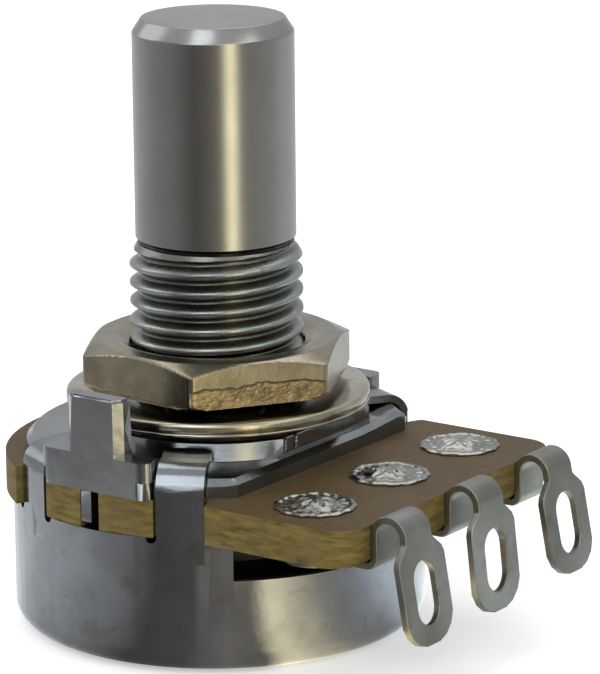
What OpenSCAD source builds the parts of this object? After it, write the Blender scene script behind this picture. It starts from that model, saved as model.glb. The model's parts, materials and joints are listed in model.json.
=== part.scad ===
// Rotary potentiometer, 16 mm class, with a plain round shaft, a threaded bushing,
// a loose hex nut and washer, and three solder lugs that fold down past the cover.
// Frame: millimetres. Z runs along the shaft and points at its tip. Z = 0 is the flat
// back of the steel cover. X runs along the row of lugs and the lugs stand on the -Y side.

/* [Shaft] */
// Radius of the free end that takes the knob
shaft_r = 3.175; // [3.0:0.025:3.4]
// Height of the shaft tip above the cover's back
shaft_tip_z = 24.2; // [20:0.1:32]
// Chamfer at the tip, measured along the radius
tip_chamfer = 0.36; // [0.1:0.02:0.6]
// Half of the total turn in degrees
half_turn = 150; // [90:5:150]

/* [Bushing] */
// Crest radius of the bushing thread
thread_r = 3.43; // [3.3:0.01:3.6]
// Thread pitch
thread_pitch = 0.75; // [0.5:0.05:0.9]
// Depth of one thread groove
thread_depth = 0.4; // [0.2:0.02:0.45]
// Distance from the thread crests to the bushing's bore
bushing_wall = 0.93; // [0.9:0.01:1.3]
// Length of the bushing above the seat ring
bushing_len = 6.3; // [5:0.1:8]

/* [Front plate] */
// How far the flange that the cover tabs grip stays inside the cover's radius
flange_inset = 0.57; // [0.52:0.01:0.9]
// Flange thickness
flange_t = 0.7; // [0.6:0.05:0.8]
// Distance from the axis to the flange chord on the lug side
flange_chord = 5.1; // [4.95:0.05:5.6]
// How far the raised platform stays inside the flange on the peg side
platform_inset = 2.65; // [2.5:0.05:2.8]
// How far the raised platform stays inside the flange on the other side
platform_wide_inset = 1.65; // [1.65:0.05:2.2]
// Height of the platform above the flange
platform_h = 0.77; // [0.6:0.05:1.2]
// Distance from the axis to the platform chord on the lug side
platform_chord = 4.65; // [4.4:0.05:4.8]
// Radius of the ring round the bushing root that carries the washer
seat_r = 4.2; // [3.9:0.1:4.6]
// Height of that ring
seat_h = 0.58; // [0.3:0.02:0.8]

/* [Peg] */
// How far the outer face of the locating peg stays inside the cover's radius
peg_inset = 0.02; // [0:0.01:0.1]
// Peg thickness along X
peg_t = 0.8; // [0.6:0.05:0.9]
// Peg width at its root along Y
peg_w = 2.7; // [2.2:0.1:3.2]
// Peg height above the platform
peg_h = 2.3; // [1.5:0.1:3]
// Half width of the ear that carries the peg
ear_half_w = 2.6; // [2.2:0.05:2.6]
// Half width of the plain ear on the other side
plain_ear_half_w = 2.4; // [2.2:0.05:2.6]

/* [Wafer] */
// Wafer thickness
wafer_t = 1.5; // [1.2:0.05:1.8]
// How far the wafer's round rear stands out past the cover
wafer_proud = 0.28; // [0.2:0.02:0.5]
// How far the lug side of the wafer reaches out past the ears' inner faces
wafer_lap = 0.2; // [0.1:0.05:0.3]
// How far the wafer reaches under the ears, almost to the rim's outer face
wafer_side_lap = 0.7; // [0.6:0.05:0.8]
// Distance from the row of rivets to the wafer's lug edge
wafer_overhang = 3.1; // [2.9:0.1:4]
// Corner radius at the lug edge
wafer_corner_r = 1.3; // [0.6:0.1:1.6]
// Size of the break along the lower edge
wafer_break = 0.2; // [0.1:0.02:0.24]

/* [Rear cover] */
// Outer radius of the cover
cover_r = 8.22; // [8.1:0.02:8.4]
// Sheet thickness of the cover
cover_t = 0.3; // [0.25:0.01:0.4]
// Height of the cover's rim above its back
cover_h = 5.45; // [5.2:0.05:7]
// Outer radius of the cover's bottom corner
cover_corner_r = 0.87; // [0.6:0.01:1.2]
// Depth of the opening in the rim on the lug side
notch_depth = 1.66; // [1.2:0.02:2]
// Half angle of that opening
notch_half_angle = 50; // [46:1:54]
// Width of one folding tab
tab_w = 1.87; // [1.6:0.01:2.0]
// Angle from the X axis to a tab
tab_angle = 25.9; // [25.6:0.1:28]
// Height at which each folded tab stands off the flange, from the right rear tab round
tab_lift = [0, 0, 0.08, 0.22]; // [0:0.01:0.3]

/* [Lugs] */
// Distance between lugs
lug_pitch = 5; // [4.6:0.1:5.4]
// Thickness of the lug strip
lug_t = 0.3; // [0.25:0.01:0.35]
// Width of the strip
lug_strip_w = 1.7; // [1.5:0.05:2.2]
// Width of the soldering end
lug_w = 3.02; // [2.6:0.02:3.4]
// Height of each lug's tip above the cover's back
lug_tip_z = [2.47, 2.4, 2.66]; // [1.6:0.02:3]
// Height of the shoulders above the cover's back
lug_shoulder_z = 6.1; // [5.4:0.05:6.2]
// Outward lean of each soldering end in degrees, no two are bent alike
lug_lean = [10, 6.5, 11]; // [0:0.5:14]
// Width of the wire slot
slot_w = 1.4; // [1.1:0.05:1.8]
// Length of the wire slot
slot_len = 2.46; // [2:0.02:2.6]
// How far the row of rivets stays inside the cover's radius
rivet_inset = 0.02; // [-0.2:0.02:0.1]

/* [Nut and washer] */
// Width across the nut's flats
nut_af = 9.75; // [9:0.05:10]
// Nut thickness
nut_t = 1.75; // [1.5:0.05:2.4]
// Gap between washer and nut, which is not run down tight
nut_gap = 0.35; // [0.05:0.05:1.5]
// Turn of the nut about the axis in degrees
nut_turn = -154.2; // [-180:0.1:180]
// Outer radius of the washer
washer_r = 6.03; // [5.2:0.01:6.2]
// Washer thickness
washer_t = 0.4; // [0.3:0.05:0.6]

/* [Hidden] */
$fn = 96;
eps = 0.01;
run_gap = 0.05;       // radial running clearance
fit_gap = 0.02;       // radial clearance of parts that are pressed together
side_gap = 0.12;      // clearance beside and behind the folded tabs
thread_lead = 0.02;   // plain length between washer and first thread groove
thread_top = 0.6;     // height of the chamfer that ends the thread

flange_r = cover_r - flange_inset;
platform_r = flange_r - platform_inset;
platform_wide_r = flange_r - platform_wide_inset;
peg_x = cover_r - peg_inset;
ear_in_x = peg_x - 1.0;
wafer_r = cover_r + wafer_proud;
wafer_half_w = ear_in_x + wafer_lap;
wafer_side_w = ear_in_x + wafer_side_lap;
wafer_side_y = 3.2;                      // half length of the flats under the ears
rivet_y = cover_r - rivet_inset;
wafer_end = rivet_y + wafer_overhang;

wafer_z = cover_h;                       // underside of the wafer, resting on the rim
plate_z = wafer_z + wafer_t;             // underside of the front plate
flange_top = plate_z + flange_t;
deck_z = flange_top + platform_h;
seat_z = deck_z + seat_h;
bushing_top = seat_z + bushing_len;
edge_round = 0.25;                       // chamfer on the flange's top edge
bore_r = thread_r - bushing_wall;
neck_r = bore_r - run_gap;               // neck of the shaft that turns in the bushing
deck_split_x = -1.2;                     // where the platform widens
ear_corner_r = 0.5;
ear_step = 0.05;                         // the ear is thinner below the flange's top face
peg_draft = 0.03;
peg_chamfer = 0.4;                       // on the peg's two outer upright edges
key_w = 0.48;
key_y = 0.34;                            // the key is not in the middle of the ear
key_play = 0.38;                         // free width beside the key in its notch
key_x0 = ear_in_x - run_gap;
key_x1 = peg_x - 0.2;
key_drop = 1.25;

clip_t = 0.5;
clip_r = neck_r + 1.15;
clip_gap_angle = 50;
clip_z = plate_z + 0.15;
groove_r = neck_r - 0.45;
recess_r = clip_r + 0.5;
recess_top = clip_z + clip_t + 0.15;

shoulder_gap = 0.12;                     // end play between bushing and shaft shoulder
shoulder_z = bushing_top + shoulder_gap;
shoulder_chamfer_r = 0.22;
shoulder_chamfer_h = 0.35;
tip_chamfer_h = 0.55;
drive_r = neck_r - 0.45;                 // shaft end that carries the rotor
drive_flat = drive_r - 0.55;
drive_z = 1.9;

rotor_r = cover_r - cover_t - 1.62;
rotor_t = 0.7;
rotor_top = wafer_z - 0.75;
rotor_z = rotor_top - rotor_t;
hub_r = drive_r + 1.4;
hub_z = 1.6;
track_t = 0.07;
track_r1 = rotor_r + 0.1;
track_r0 = track_r1 * 0.78;
track_mid_r = (track_r0 + track_r1) / 2;
ring_r1 = track_r0 * 0.86;
ring_r0 = track_r0 * 0.66;
ring_mid_r = (ring_r0 + ring_r1) / 2;
track_half = 140;                        // half angle of the carbon track about +Y
pad_angle = 12;
pad_lead_w = 1.1;
wiper_arm_w = 1.1;
wiper_margin = 0.6;                      // width of the spring's ring round the shaft end
wiper_t = 0.15;
wiper_finger_w = 0.7;
wiper_reach = 2.2;
rub_gap = 0.04;

stop_orbit = rotor_r - 0.5;
stop_gap = 0.05;
stop_chord = 2 * stop_orbit * sin((180 - half_turn) / 2);
stop_r = (stop_chord - stop_gap) / 2;
stop_lug_r = min(1.45, stop_r);
stop_dent_r = stop_chord - stop_gap - stop_lug_r;
stop_h = 1.2;
stop_lug_z = cover_t + 0.3;

cover_step = 0.05;                       // crisp step round the flat back, below the corner
corner_z = cover_corner_r + cover_step;
tab_in_r = cover_r - cover_t;
tab_end_r = platform_wide_r + 0.1;
tab_bend_r = 0.25;
tab_end_corner = 0.5;
tab_angles = [tab_angle, 180 - tab_angle, 180 + tab_angle, 360 - tab_angle];
relief_r = 0.22;

rivet_r = 0.85;
rivet_head_r = 1.6;
rivet_head_h = 0.32;
rivet_foot_r = 1.3;
rivet_foot_t = 0.25;
rivet_bore_r = 0.5;                      // hollow of the shank, open below
rivet_web = 0.25;                        // how far the closed end reaches into the wafer
petals = 6;
petal_angle = 50;

lug_z = wafer_z - lug_t;                 // underside of the lug's foot
lug_eye_r = 1.35;
lug_rise_y = wafer_end + lug_t / 2;      // centre line of the rising leg
arch_r = 0.65;
arch_z = 6.6;
lug_tip_corner = 1.1;

nut_z = seat_z + washer_t + nut_gap;
nut_corner_r = nut_af / 2 / cos(30);
nut_chamfer_r = 0.9;
nut_chamfer_h = 0.42;
nut_slope = nut_chamfer_h / nut_chamfer_r;

steel = [0.62, 0.62, 0.62];
cast = [0.55, 0.56, 0.58];
nickel = [0.58, 0.57, 0.52];
tin = [0.72, 0.72, 0.70];
phenolic = [0.46, 0.38, 0.18];
carbon = [0.08, 0.08, 0.09];
silver = [0.75, 0.75, 0.74];
plastic = [0.13, 0.13, 0.14];
bronze = [0.72, 0.58, 0.30];

// Rectangle from the first to the second corner with rounded corners
module round_rect(x0, y0, x1, y1, r) {
    translate([x0 + r, y0])
        square([x1 - x0 - 2 * r, y1 - y0]);
    translate([x0, y0 + r])
        square([x1 - x0, y1 - y0 - 2 * r]);
    for (x = [x0 + r, x1 - r], y = [y0 + r, y1 - r])
        translate([x, y])
            circle(r = r);
}

// Space that one folded tab needs, widened by g
module tab_slot(a, g, r_in, z0, z1) {
    rotate([0, 0, a])
        translate([r_in, -tab_w / 2 - g, z0])
            cube([cover_r + 2 - r_in, tab_w + 2 * g, z1 - z0]);
}

module flange() {
    difference() {
        translate([0, 0, plate_z])
            rotate_extrude()
                polygon([[0, 0], [flange_r, 0], [flange_r, flange_t - edge_round],
                    [flange_r - edge_round, flange_t], [0, flange_t]]);
        translate([-flange_r - 1, -flange_r - 1, plate_z - 1])
            cube([2 * flange_r + 2, flange_r + 1 - flange_chord, flange_t + 2]);
        translate([-flange_r - 1, -flange_chord, flange_top - edge_round])
            rotate([-45, 0, 0])
                translate([0, -2, 0])
                    cube([2 * flange_r + 2, 2, 1]);
    }
}

module platform() {
    translate([0, 0, flange_top - eps])
        linear_extrude(platform_h + eps)
            difference() {
                union() {
                    circle(r = platform_r);
                    intersection() {
                        circle(r = platform_wide_r);
                        translate([deck_split_x, -platform_wide_r - 1])
                            square(2 * platform_wide_r + 2);
                    }
                }
                translate([-platform_wide_r - 1, -platform_wide_r - 2])
                    square([2 * platform_wide_r + 2, platform_wide_r + 2 - platform_chord]);
                translate([deck_split_x - platform_r, -platform_chord - 1])
                    square([platform_r, 1.1]);
            }
}

// Ear that drops over the wafer's flat side, with a key that fits the notch there
module ear(half_w) {
    difference() {
        union() {
            translate([0, 0, plate_z])
                linear_extrude(flange_t + eps)
                    round_rect(-peg_x + ear_step, -half_w + ear_step,
                        -ear_in_x + ear_corner_r, half_w - ear_step, ear_corner_r);
            translate([0, 0, flange_top])
                linear_extrude(deck_z - flange_top)
                    round_rect(-peg_x, -half_w, -ear_in_x + ear_corner_r, half_w, ear_corner_r);
        }
        translate([-ear_in_x, -half_w - 1, flange_top])
            cube([2, 2 * half_w + 2, deck_z]);
    }
    translate([-key_x1, key_y - key_w / 2, plate_z - key_drop])
        cube([key_x1 - key_x0, key_w, key_drop + eps]);
}

// Plan of the peg with its outer edges chamfered, drawn g inside its nominal faces
module peg_plan(g) {
    half = peg_w / 2 - g;
    polygon([[-peg_x + g, -half + peg_chamfer], [-peg_x + peg_chamfer, -half],
        [-peg_x + peg_t - g, -half], [-peg_x + peg_t - g, half],
        [-peg_x + peg_chamfer, half], [-peg_x + g, half - peg_chamfer]]);
}

module peg() {
    cap = 0.12;
    translate([0, 0, deck_z - eps])
        linear_extrude(peg_h / 2)
            peg_plan(0);
    translate([0, 0, deck_z + peg_h / 2 - 2 * eps])
        linear_extrude(peg_h / 2 - cap + 2 * eps)
            peg_plan(peg_draft);
    translate([0, 0, deck_z + peg_h - cap - eps])
        linear_extrude(cap + eps)
            peg_plan(peg_draft + cap / 2);
}

// Bushing outline with one groove for each turn of the thread
module bushing() {
    turns = floor((bushing_len - washer_t - thread_lead - thread_top) / thread_pitch);
    first = seat_z + washer_t + thread_lead;
    root = thread_r - thread_depth;
    groove = [for (i = [0:turns - 1]) each [
        [thread_r, first + i * thread_pitch],
        [root, first + (i + 0.42) * thread_pitch],
        [root, first + (i + 0.52) * thread_pitch],
        [thread_r, first + (i + 0.94) * thread_pitch]]];
    rotate_extrude()
        polygon(concat([[bore_r - 0.3, deck_z - 0.5], [seat_r, deck_z - 0.5],
            [seat_r, seat_z], [thread_r - 0.25, seat_z],
            [thread_r - 0.25, first - 0.01]], groove,
            [[thread_r, bushing_top - thread_top], [thread_r - 0.33, bushing_top],
            [bore_r - 0.3, bushing_top]]));
}

module front_plate() {
    color(cast)
    difference() {
        union() {
            flange();
            platform();
            ear(ear_half_w);
            peg();
            mirror([1, 0, 0])
                ear(plain_ear_half_w);
            bushing();
        }
        translate([0, 0, plate_z - 1])
            cylinder(r = bore_r, h = bushing_top - plate_z + 2);
        translate([0, 0, plate_z - 1])
            cylinder(r = recess_r, h = recess_top - plate_z + 1);
        for (a = tab_angles) {
            tab_slot(a, side_gap, tab_end_r - side_gap / 2, flange_top, deck_z + 1);
            tab_slot(a, side_gap, tab_in_r - side_gap, plate_z - 1, deck_z + 1);
        }
    }
}

// One tab: it stands up from the rim, turns over the flange and ends in a round corner
module cover_tab(lift) {
    low = flange_top + lift;
    top = low + cover_t;
    bend_out = tab_bend_r + cover_t;
    leg_top = top - bend_out;
    arm_r = cover_r - bend_out;
    translate([tab_in_r, -tab_w / 2, cover_h - 1])
        cube([cover_t, tab_w, leg_top - cover_h + 1]);
    translate([arm_r, tab_w / 2, leg_top])
        rotate([90, 0, 0])
            linear_extrude(tab_w)
                intersection() {
                    difference() {
                        circle(r = bend_out);
                        circle(r = tab_bend_r);
                    }
                    square(bend_out + 1);
                }
    translate([0, 0, low])
        linear_extrude(cover_t)
            union() {
                translate([tab_end_r + tab_end_corner, -tab_w / 2])
                    square([arm_r - tab_end_r - tab_end_corner, tab_w]);
                translate([tab_end_r, -tab_w / 2 + tab_end_corner])
                    square([tab_end_corner + eps, tab_w - 2 * tab_end_corner]);
                for (s = [-1, 1])
                    translate([tab_end_r + tab_end_corner,
                        s * (tab_w / 2 - tab_end_corner)])
                        circle(r = tab_end_corner);
            }
}

module rear_cover() {
    color(steel)
    difference() {
        union() {
            difference() {
                union() {
                    cylinder(r = cover_r - cover_corner_r, h = corner_z);
                    translate([0, 0, corner_z])
                        cylinder(r = cover_r, h = cover_h - corner_z);
                    translate([0, 0, corner_z])
                        rotate_extrude()
                            intersection() {
                                translate([cover_r - cover_corner_r, 0])
                                    circle(r = cover_corner_r);
                                translate([cover_r - cover_corner_r, -cover_corner_r])
                                    square(cover_corner_r);
                            }
                }
                translate([0, 0, corner_z])
                    cylinder(r = cover_r - cover_t, h = cover_h);
                translate([0, 0, cover_t])
                    cylinder(r = cover_r - cover_corner_r, h = cover_h);
                translate([0, 0, corner_z])
                    rotate_extrude()
                        translate([cover_r - cover_corner_r, 0])
                            intersection() {
                                circle(r = cover_corner_r - cover_t);
                                translate([0, -cover_corner_r])
                                    square([cover_corner_r, cover_corner_r + eps]);
                            }
            }
            for (i = [0:3])
                rotate([0, 0, tab_angles[i]])
                    cover_tab(tab_lift[i]);
            translate([0, -stop_orbit, 0])
                cylinder(r = stop_dent_r, h = cover_t + stop_h);
        }
        // opening in the rim under the lugs
        translate([0, 0, cover_h - notch_depth])
            rotate([0, 0, -90 - notch_half_angle])
                rotate_extrude(angle = 2 * notch_half_angle)
                    translate([cover_r - cover_t - 0.5, 0])
                        square([cover_t + 1.5, notch_depth + 1]);
        // small relief punch at each root of a tab
        for (a = tab_angles, s = [-1, 1])
            rotate([0, 0, a])
                translate([tab_in_r - 1, s * (tab_w / 2 + relief_r), cover_h])
                    rotate([0, 90, 0])
                        cylinder(r = relief_r, h = 3);
        // back of the pressed stop
        translate([0, -stop_orbit, -1])
            cylinder(r = stop_dent_r - cover_t, h = stop_h + 1);
    }
}

// Wafer outline with the lug edge drawn g inside its nominal place
module wafer_outline(g) {
    intersection() {
        circle(r = wafer_r);
        translate([-wafer_half_w, -1])
            square([2 * wafer_half_w, wafer_r + 2]);
    }
    intersection() {
        circle(r = cover_r - fit_gap);
        translate([-wafer_side_w, -wafer_side_y])
            square([2 * wafer_side_w, 2 * wafer_side_y]);
    }
    round_rect(-wafer_half_w, -wafer_end + g, wafer_half_w, 2, wafer_corner_r);
}

// Laminate plate; the lower edge that the lugs bend round is broken in two steps
module wafer() {
    color(phenolic)
    difference() {
        union() {
            translate([0, 0, wafer_z])
                linear_extrude(wafer_break)
                    wafer_outline(wafer_break);
            translate([0, 0, wafer_z + wafer_break / 2])
                linear_extrude(wafer_break)
                    wafer_outline(wafer_break / 2);
            translate([0, 0, wafer_z + wafer_break])
                linear_extrude(wafer_t - wafer_break)
                    wafer_outline(0);
        }
        translate([0, 0, wafer_z - 1])
            cylinder(r = neck_r + 0.3, h = wafer_t + 2);
        for (i = [-1:1])
            translate([i * lug_pitch, -rivet_y, wafer_z - 1])
                cylinder(r = rivet_r + fit_gap, h = wafer_t + 2);
        for (s = [-1, 1])
            translate([s * (wafer_side_w + key_x0) / 2, key_y + (run_gap - key_play) / 2,
                wafer_z])
                cube([wafer_side_w - key_x0 + 2 * run_gap, key_w + key_play + run_gap,
                    2 * wafer_t + 2], center = true);
        for (a = tab_angles)
            tab_slot(a, side_gap, tab_in_r - side_gap, wafer_z - 1, plate_z + 1);
    }
}

module flat_washer() {
    color(nickel)
    translate([0, 0, seat_z])
        difference() {
            cylinder(r = washer_r, h = washer_t);
            translate([0, 0, -1])
                cylinder(r = thread_r + 0.1, h = washer_t + 2);
        }
}

module hex_nut() {
    color(nickel)
    difference() {
        intersection() {
            translate([0, 0, nut_z])
                rotate([0, 0, nut_turn])
                    cylinder(r = nut_corner_r, h = nut_t, $fn = 6);
            translate([0, 0, nut_z])
                rotate_extrude()
                    polygon([[0, -0.2], [nut_corner_r - 0.6, -0.2],
                        [nut_corner_r + 0.2, 0.2],
                        [nut_corner_r + 0.2, nut_t - nut_chamfer_h - 0.2 * nut_slope],
                        [nut_corner_r - nut_chamfer_r - 0.2,
                            nut_t - nut_chamfer_h + (nut_chamfer_r + 0.2) * nut_slope],
                        [0, nut_t - nut_chamfer_h + (nut_chamfer_r + 0.2) * nut_slope]]);
        }
        translate([0, 0, nut_z - 1])
            cylinder(r = thread_r + run_gap, h = nut_t + 2);
        translate([0, 0, nut_z + nut_t - 0.25])
            cylinder(r1 = thread_r + run_gap, r2 = thread_r + run_gap + 0.5, h = 0.5);
    }
}

module shaft() {
    color(steel)
    difference() {
        rotate_extrude()
            polygon([[0, drive_z], [drive_r - 0.2, drive_z], [drive_r, drive_z + 0.2],
                [drive_r, rotor_top + 0.1], [neck_r, rotor_top + 0.1], [neck_r, clip_z],
                [groove_r, clip_z], [groove_r, clip_z + clip_t],
                [neck_r, clip_z + clip_t], [neck_r, shoulder_z],
                [shaft_r - shoulder_chamfer_r, shoulder_z],
                [shaft_r, shoulder_z + shoulder_chamfer_h],
                [shaft_r, shaft_tip_z - tip_chamfer_h],
                [shaft_r - tip_chamfer, shaft_tip_z], [0, shaft_tip_z]]);
        // flat that drives the rotor
        translate([drive_flat, -drive_r - 1, drive_z - 1])
            cube([drive_r + 1, 2 * drive_r + 2, rotor_top + 0.1 - drive_z + 1]);
    }
}

module retaining_clip() {
    color(steel)
    translate([0, 0, clip_z])
        rotate([0, 0, clip_gap_angle / 2])
            rotate_extrude(angle = 360 - clip_gap_angle)
                translate([groove_r + fit_gap, 0])
                    square([clip_r - groove_r - fit_gap, clip_t]);
}

module rotor() {
    color(plastic)
    difference() {
        union() {
            translate([0, 0, rotor_z])
                cylinder(r = rotor_r, h = rotor_t);
            translate([0, 0, hub_z])
                cylinder(r = hub_r, h = rotor_z - hub_z + eps);
            translate([0, stop_orbit, stop_lug_z])
                cylinder(r = stop_lug_r, h = rotor_z - stop_lug_z + eps);
        }
        difference() {
            translate([0, 0, hub_z - 1])
                cylinder(r = drive_r + fit_gap, h = rotor_top - hub_z + 2);
            translate([drive_flat + fit_gap, -drive_r - 1, hub_z - 2])
                cube([drive_r + 1, 2 * drive_r + 2, rotor_top - hub_z + 4]);
        }
        // rear socket wall keeps the hub closed below the shaft end
        translate([0, 0, hub_z - 1])
            cylinder(r = drive_r - 0.6, h = 1.1);
    }
}

// Springy finger that rises from the carrier to the printed layer
module finger(orbit, dir) {
    base = rotor_top + wiper_t;
    rub = wafer_z - track_t - rub_gap;
    translate([0, orbit - wiper_finger_w / 2, 0])
        mirror([dir < 0 ? 1 : 0, 0, 0])
            rotate([90, 0, 0])
                translate([0, 0, -wiper_finger_w])
                    linear_extrude(wiper_finger_w)
                        polygon([[-0.4, base - wiper_t], [0, base - wiper_t],
                            [wiper_reach - 0.3, rub - wiper_t],
                            [wiper_reach, rub - wiper_t - 0.12],
                            [wiper_reach + 0.1, rub - wiper_t - 0.02],
                            [wiper_reach - 0.25, rub], [-0.02, base], [-0.4, base]]);
}

module wiper_spring() {
    color(bronze)
    union() {
        translate([0, 0, rotor_top])
            linear_extrude(wiper_t)
                difference() {
                    union() {
                        circle(r = drive_r + 2 * wiper_margin);
                        translate([-wiper_arm_w, 0])
                            square([wiper_arm_w, track_r1 - 0.3]);
                    }
                    circle(r = drive_r + wiper_margin);
                }
        for (o = [track_mid_r - 0.4, track_mid_r + 0.4, ring_mid_r + 0.05])
            finger(o, 1);
    }
}

// Flat ring sector printed on the wafer's underside
module print_sector(r0, r1, a0, a1) {
    translate([0, 0, wafer_z - track_t])
        rotate([0, 0, a0])
            rotate_extrude(angle = a1 - a0)
                translate([r0, 0])
                    square([r1 - r0, track_t]);
}

module resistive_track() {
    color(carbon)
        print_sector(track_r0, track_r1, 90 - track_half, 90 + track_half);
}

module collector_ring() {
    color(silver)
    union() {
        translate([0, 0, wafer_z - track_t])
            difference() {
                cylinder(r = ring_r1, h = track_t);
                translate([0, 0, -track_t])
                    cylinder(r = ring_r0, h = 3 * track_t);
            }
        translate([-pad_lead_w / 2, -rivet_y + lug_eye_r, wafer_z - track_t])
            cube([pad_lead_w, rivet_y - lug_eye_r - ring_r1 + 0.3, track_t]);
    }
}

// End pad of the track with its short lead to the outer lug, s = -1 or 1
module track_pad(s) {
    lead_a = atan2(-rivet_y, s * lug_pitch);
    foot = norm([lug_pitch, rivet_y]) - lug_eye_r;
    end_a = s < 0 ? 90 + track_half : 90 - track_half - pad_angle;
    reach = 2 * track_r1;
    color(silver)
    translate([0, 0, wafer_z - track_t])
        linear_extrude(track_t)
            union() {
                intersection() {
                    difference() {
                        circle(r = track_r1 + 0.1);
                        circle(r = track_r0 - 0.1);
                    }
                    polygon([[0, 0], [reach * cos(end_a), reach * sin(end_a)],
                        [reach * cos(end_a + pad_angle), reach * sin(end_a + pad_angle)]]);
                }
                rotate([0, 0, lead_a])
                    translate([track_r1 - 0.4, -pad_lead_w / 2])
                        square([foot - track_r1 + 0.38, pad_lead_w]);
            }
}

module track_pad_1() {
    track_pad(-1);
}

module track_pad_3() {
    track_pad(1);
}

// Side view of the strip, drawn with Y outward as x and Z as y
module lug_profile(lean) {
    half = lug_t / 2;
    bend_z = wafer_z + wafer_break;
    // foot under the wafer
    translate([rivet_y, lug_z])
        square([wafer_end - wafer_break - rivet_y, lug_t]);
    // bend round the wafer's lower edge
    translate([wafer_end - wafer_break, bend_z])
        intersection() {
            difference() {
                circle(r = wafer_break + lug_t);
                circle(r = wafer_break);
            }
            translate([0, -wafer_break - 2 * lug_t])
                square(wafer_break + 2 * lug_t);
        }
    // rising leg along the end face
    translate([wafer_end, bend_z - eps])
        square([lug_t, arch_z - bend_z + 2 * eps]);
    // arch
    translate([lug_rise_y + arch_r, arch_z])
        difference() {
            circle(r = arch_r + half);
            circle(r = arch_r - half);
            translate([-2 * arch_r, -4 * arch_r])
                square(4 * arch_r);
            rotate([0, 0, lean - 90])
                square(4 * arch_r);
        }
}

module lug(i) {
    lean = lug_lean[i + 1];
    end_z = arch_z + arch_r * sin(lean);
    fall = (end_z - lug_tip_z[i + 1]) / cos(lean);
    shoulder = (end_z - lug_shoulder_z) / cos(lean);
    color(tin)
    translate([i * lug_pitch, 0, 0])
    difference() {
        union() {
            translate([-lug_strip_w / 2, 0, 0])
                rotate([90, 0, 90])
                    mirror([1, 0, 0])
                        linear_extrude(lug_strip_w)
                            lug_profile(lean);
            translate([0, -rivet_y, lug_z])
                cylinder(r = lug_eye_r, h = lug_t);
            // soldering end, hung from the arch and leaning outward
            translate([0, -lug_rise_y - arch_r, arch_z])
                rotate([-lean, 0, 0])
                    translate([0, -arch_r + lug_t / 2, 0])
                        rotate([90, 0, 0])
                            linear_extrude(lug_t)
                                difference() {
                                    union() {
                                        translate([-lug_strip_w / 2, -shoulder - 0.3])
                                            square([lug_strip_w, shoulder + 0.31]);
                                        lug_blade(shoulder, fall);
                                    }
                                    lug_slot(shoulder, fall);
                                }
        }
        translate([0, -rivet_y, lug_z - 1])
            cylinder(r = rivet_r + fit_gap, h = lug_t + 2);
    }
}

// Blade outline: sloping shoulders, straight sides and a rounded tip drawn in short edges
module lug_blade(shoulder, fall) {
    hw = lug_w / 2;
    sw = lug_strip_w / 2;
    side = [for (s = [1, -1]) each let (q = [[sw, -shoulder + 0.3],
        [hw - 0.12, -shoulder - 0.18], [hw, -shoulder - 0.45], [hw, -fall + 0.95],
        [hw - 0.22, -fall + 0.5], [hw - 0.62, -fall + 0.16], [hw - 1.1, -fall]])
        [for (k = [0:6]) let (j = s > 0 ? k : 6 - k) [s * q[j][0], q[j][1]]]];
    polygon(side);
}

// Wire slot: straight sides and two round ends
module lug_slot(shoulder, fall) {
    low = -fall + (lug_w - slot_w) / 2 - 0.06 + slot_w / 2;
    translate([-slot_w / 2, low])
        square([slot_w, slot_len - slot_w]);
    for (y = [low, low + slot_len - slot_w])
        translate([0, y])
            circle(r = slot_w / 2);
}

module terminal_lug_1() {
    lug(-1);
}

module terminal_lug_2() {
    lug(0);
}

module terminal_lug_3() {
    lug(1);
}

// Rivet: foot under the lug, hollow shank through the wafer and a star-crimped head
module rivet(i) {
    foot_z = lug_z - rivet_foot_t;
    color(tin)
    translate([i * lug_pitch, -rivet_y, 0])
    union() {
        rotate_extrude()
            polygon([[0, plate_z - rivet_web], [rivet_bore_r, plate_z - rivet_web],
                [rivet_bore_r, foot_z], [rivet_foot_r, foot_z],
                [rivet_foot_r, lug_z], [rivet_r, lug_z], [rivet_r, plate_z],
                [rivet_r + 0.15, plate_z], [rivet_r, plate_z + rivet_head_h * 0.8],
                [rivet_bore_r, plate_z + rivet_head_h], [0, plate_z + rivet_head_h * 0.7]]);
        for (k = [0:petals - 1])
            rotate([0, 0, k * 360 / petals + 12])
                rotate_extrude(angle = petal_angle)
                    polygon([[rivet_bore_r + 0.1, plate_z],
                        [rivet_head_r, plate_z], [rivet_head_r - 0.05, plate_z + 0.12],
                        [rivet_r + 0.25, plate_z + rivet_head_h],
                        [rivet_r - 0.1, plate_z + rivet_head_h * 0.9],
                        [rivet_bore_r + 0.1, plate_z + rivet_head_h * 0.5]]);
    }
}

module rivet_1() {
    rivet(-1);
}

module rivet_2() {
    rivet(0);
}

module rivet_3() {
    rivet(1);
}

front_plate();
rear_cover();
wafer();
flat_washer();
hex_nut();
shaft();
retaining_clip();
rotor();
wiper_spring();
resistive_track();
collector_ring();
track_pad_1();
track_pad_3();
terminal_lug_1();
terminal_lug_2();
terminal_lug_3();
rivet_1();
rivet_2();
rivet_3();
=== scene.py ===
import json
import math

import bmesh
import bpy
from mathutils import Matrix, Vector, noise


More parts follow.
